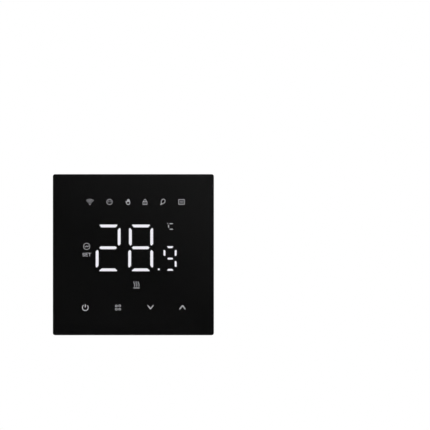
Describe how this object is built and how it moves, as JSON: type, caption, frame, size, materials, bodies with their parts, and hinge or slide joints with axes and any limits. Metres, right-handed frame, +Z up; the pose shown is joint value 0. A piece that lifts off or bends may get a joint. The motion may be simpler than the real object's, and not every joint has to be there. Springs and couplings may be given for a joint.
{
  "type": "wall thermostat",
  "caption": "Square touch-glass wall thermostat with a lit seven-segment display, a pull-off front module, a steel mounting plate and an in-wall power case with screw terminals.",
  "frame": {"origin": "centre of the wall face, the back of the mounting plate", "axes": "+Y into the wall, +Z up, +X to the right as seen from the room"},
  "size_m": [0.086, 0.0426, 0.086],
  "materials": {
    "cover_glass": "clear glass, polished, thin chamfer at the edge",
    "black_ink": "black silk-screen ink behind the glass",
    "lit_display": "white light through translucent print",
    "dark_window": "smoked translucent print, unlit",
    "icon_light": "dim white light through translucent print",
    "key_light": "white light through translucent print, brighter than the icons",
    "adhesive": "black foam adhesive",
    "diffuser": "white translucent film",
    "housing": "fine moulded texture, black",
    "white_plastic": "white reflector plastic",
    "circuit_board": "green solder mask",
    "led_chip": "white chips with a yellow phosphor",
    "spring_steel": "bright spring steel",
    "shield_metal": "tin-plated steel",
    "chip_black": "moulded epoxy",
    "chip_ceramic": "ceramic chip parts",
    "sensor_bead": "epoxy bead",
    "connector_black": "moulded connector plastic",
    "screw_steel": "zinc-plated steel",
    "plate_steel": "galvanised sheet steel",
    "case_plastic": "light grey flame-retardant plastic",
    "gold_pin": "gold-plated pins",
    "ferrite": "dark grey ferrite",
    "coil_tape": "yellow polyester tape",
    "relay_shell": "blue moulded relay housing",
    "copper_winding": "enamelled copper wire",
    "contact_copper": "tinned brass and silver alloy",
    "capacitor_can": "black printed sleeve, vented top",
    "film_cap": "yellow boxed film capacitor",
    "varistor_blue": "blue epoxy coating",
    "fuse_metal": "nickel-plated caps and clips on a glass tube",
    "terminal_plastic": "green polyamide",
    "label_paper": "white adhesive label",
    "label_ink": "printed lines"
  },
  "bodies": {
    "wall_unit": {"mounting_plate": "plate_steel", "retaining_clips": "spring_steel", "power_case": "case_plastic", "power_cover": "case_plastic", "power_pcb": "circuit_board", "header_housing": "connector_black", "header_pins": "gold_pin", "transformer_core": "ferrite", "transformer_coil": "coil_tape", "relay_case": "relay_shell", "relay_base": "relay_shell", "relay_yoke": "plate_steel", "relay_coil": "copper_winding", "relay_fixed_contact": "contact_copper", "electrolytic_capacitors": "capacitor_can", "film_capacitor": "film_cap", "varistor": "varistor_blue", "fuse": "fuse_metal", "power_pcb_parts": "chip_ceramic", "terminal_block": "terminal_plastic", "terminal_contacts": "contact_copper", "plate_screws": "screw_steel", "cover_screws": "screw_steel", "rating_label": "label_paper", "label_print": "label_ink"},
    "front_module": {"front_glass": "cover_glass", "display_mask": "black_ink", "lit_segments": "lit_display", "unlit_segments": "dark_window", "status_icons": "icon_light", "mode_icons": "icon_light", "key_icons": "key_light", "glass_adhesive": "adhesive", "diffuser_film": "diffuser", "front_frame": "housing", "segment_reflector": "white_plastic", "display_pcb": "circuit_board", "display_leds": "led_chip", "touch_springs": "spring_steel", "wifi_module": "shield_metal", "microcontroller": "chip_black", "buzzer": "chip_black", "display_pcb_parts": "chip_ceramic", "room_sensor": "sensor_bead", "board_socket": "connector_black", "display_pcb_screws": "screw_steel"},
    "relay_armature": {"relay_armature": "plate_steel", "relay_moving_contact": "contact_copper"},
    "terminal_screw_1": {"terminal_screw_1": "screw_steel"},
    "terminal_clamp_1": {"terminal_clamp_1": "plate_steel"},
    "terminal_screw_2": {"terminal_screw_2": "screw_steel"},
    "terminal_clamp_2": {"terminal_clamp_2": "plate_steel"},
    "terminal_screw_3": {"terminal_screw_3": "screw_steel"},
    "terminal_clamp_3": {"terminal_clamp_3": "plate_steel"},
    "terminal_screw_4": {"terminal_screw_4": "screw_steel"},
    "terminal_clamp_4": {"terminal_clamp_4": "plate_steel"},
    "terminal_screw_5": {"terminal_screw_5": "screw_steel"},
    "terminal_clamp_5": {"terminal_clamp_5": "plate_steel"},
    "terminal_screw_6": {"terminal_screw_6": "screw_steel"},
    "terminal_clamp_6": {"terminal_clamp_6": "plate_steel"}
  },
  "joints": [
    {"name": "front_module_slide", "type": "slide", "parent": "wall_unit", "child": "front_module", "axis": [0, -1, 0], "range_m": [0, 0.03]},
    {"name": "relay_armature_hinge", "type": "hinge", "parent": "wall_unit", "child": "relay_armature", "pos_m": [0.004, 0.0143, 0.0102], "axis": [0, 0, -1], "range_deg": [0, 3.5], "stiffness_Nm_per_rad": 0.02, "springref_deg": -4.58},
    {"name": "terminal_screw_1_turn", "type": "hinge", "parent": "wall_unit", "child": "terminal_screw_1", "pos_m": [-0.01875, 0.0155, -0.0186], "axis": [0, -1, 0], "range_deg": [0, 1440]},
    {"name": "terminal_clamp_1_rise", "type": "slide", "parent": "wall_unit", "child": "terminal_clamp_1", "axis": [0, 1, 0], "range_m": [0, 0.0024]},
    {"name": "terminal_screw_2_turn", "type": "hinge", "parent": "wall_unit", "child": "terminal_screw_2", "pos_m": [-0.01125, 0.0155, -0.0186], "axis": [0, -1, 0], "range_deg": [0, 1440]},
    {"name": "terminal_clamp_2_rise", "type": "slide", "parent": "wall_unit", "child": "terminal_clamp_2", "axis": [0, 1, 0], "range_m": [0, 0.0024]},
    {"name": "terminal_screw_3_turn", "type": "hinge", "parent": "wall_unit", "child": "terminal_screw_3", "pos_m": [-0.00375, 0.0155, -0.0186], "axis": [0, -1, 0], "range_deg": [0, 1440]},
    {"name": "terminal_clamp_3_rise", "type": "slide", "parent": "wall_unit", "child": "terminal_clamp_3", "axis": [0, 1, 0], "range_m": [0, 0.0024]},
    {"name": "terminal_screw_4_turn", "type": "hinge", "parent": "wall_unit", "child": "terminal_screw_4", "pos_m": [0.00375, 0.0155, -0.0186], "axis": [0, -1, 0], "range_deg": [0, 1440]},
    {"name": "terminal_clamp_4_rise", "type": "slide", "parent": "wall_unit", "child": "terminal_clamp_4", "axis": [0, 1, 0], "range_m": [0, 0.0024]},
    {"name": "terminal_screw_5_turn", "type": "hinge", "parent": "wall_unit", "child": "terminal_screw_5", "pos_m": [0.01125, 0.0155, -0.0186], "axis": [0, -1, 0], "range_deg": [0, 1440]},
    {"name": "terminal_clamp_5_rise", "type": "slide", "parent": "wall_unit", "child": "terminal_clamp_5", "axis": [0, 1, 0], "range_m": [0, 0.0024]},
    {"name": "terminal_screw_6_turn", "type": "hinge", "parent": "wall_unit", "child": "terminal_screw_6", "pos_m": [0.01875, 0.0155, -0.0186], "axis": [0, -1, 0], "range_deg": [0, 1440]},
    {"name": "terminal_clamp_6_rise", "type": "slide", "parent": "wall_unit", "child": "terminal_clamp_6", "axis": [0, 1, 0], "range_m": [0, 0.0024]}
  ],
  "couplings": [
    {"joint": "terminal_screw_1_turn", "follows": "terminal_clamp_1_rise", "rad_per_m": 10472},
    {"joint": "terminal_screw_2_turn", "follows": "terminal_clamp_2_rise", "rad_per_m": 10472},
    {"joint": "terminal_screw_3_turn", "follows": "terminal_clamp_3_rise", "rad_per_m": 10472},
    {"joint": "terminal_screw_4_turn", "follows": "terminal_clamp_4_rise", "rad_per_m": 10472},
    {"joint": "terminal_screw_5_turn", "follows": "terminal_clamp_5_rise", "rad_per_m": 10472},
    {"joint": "terminal_screw_6_turn", "follows": "terminal_clamp_6_rise", "rad_per_m": 10472}
  ]
}
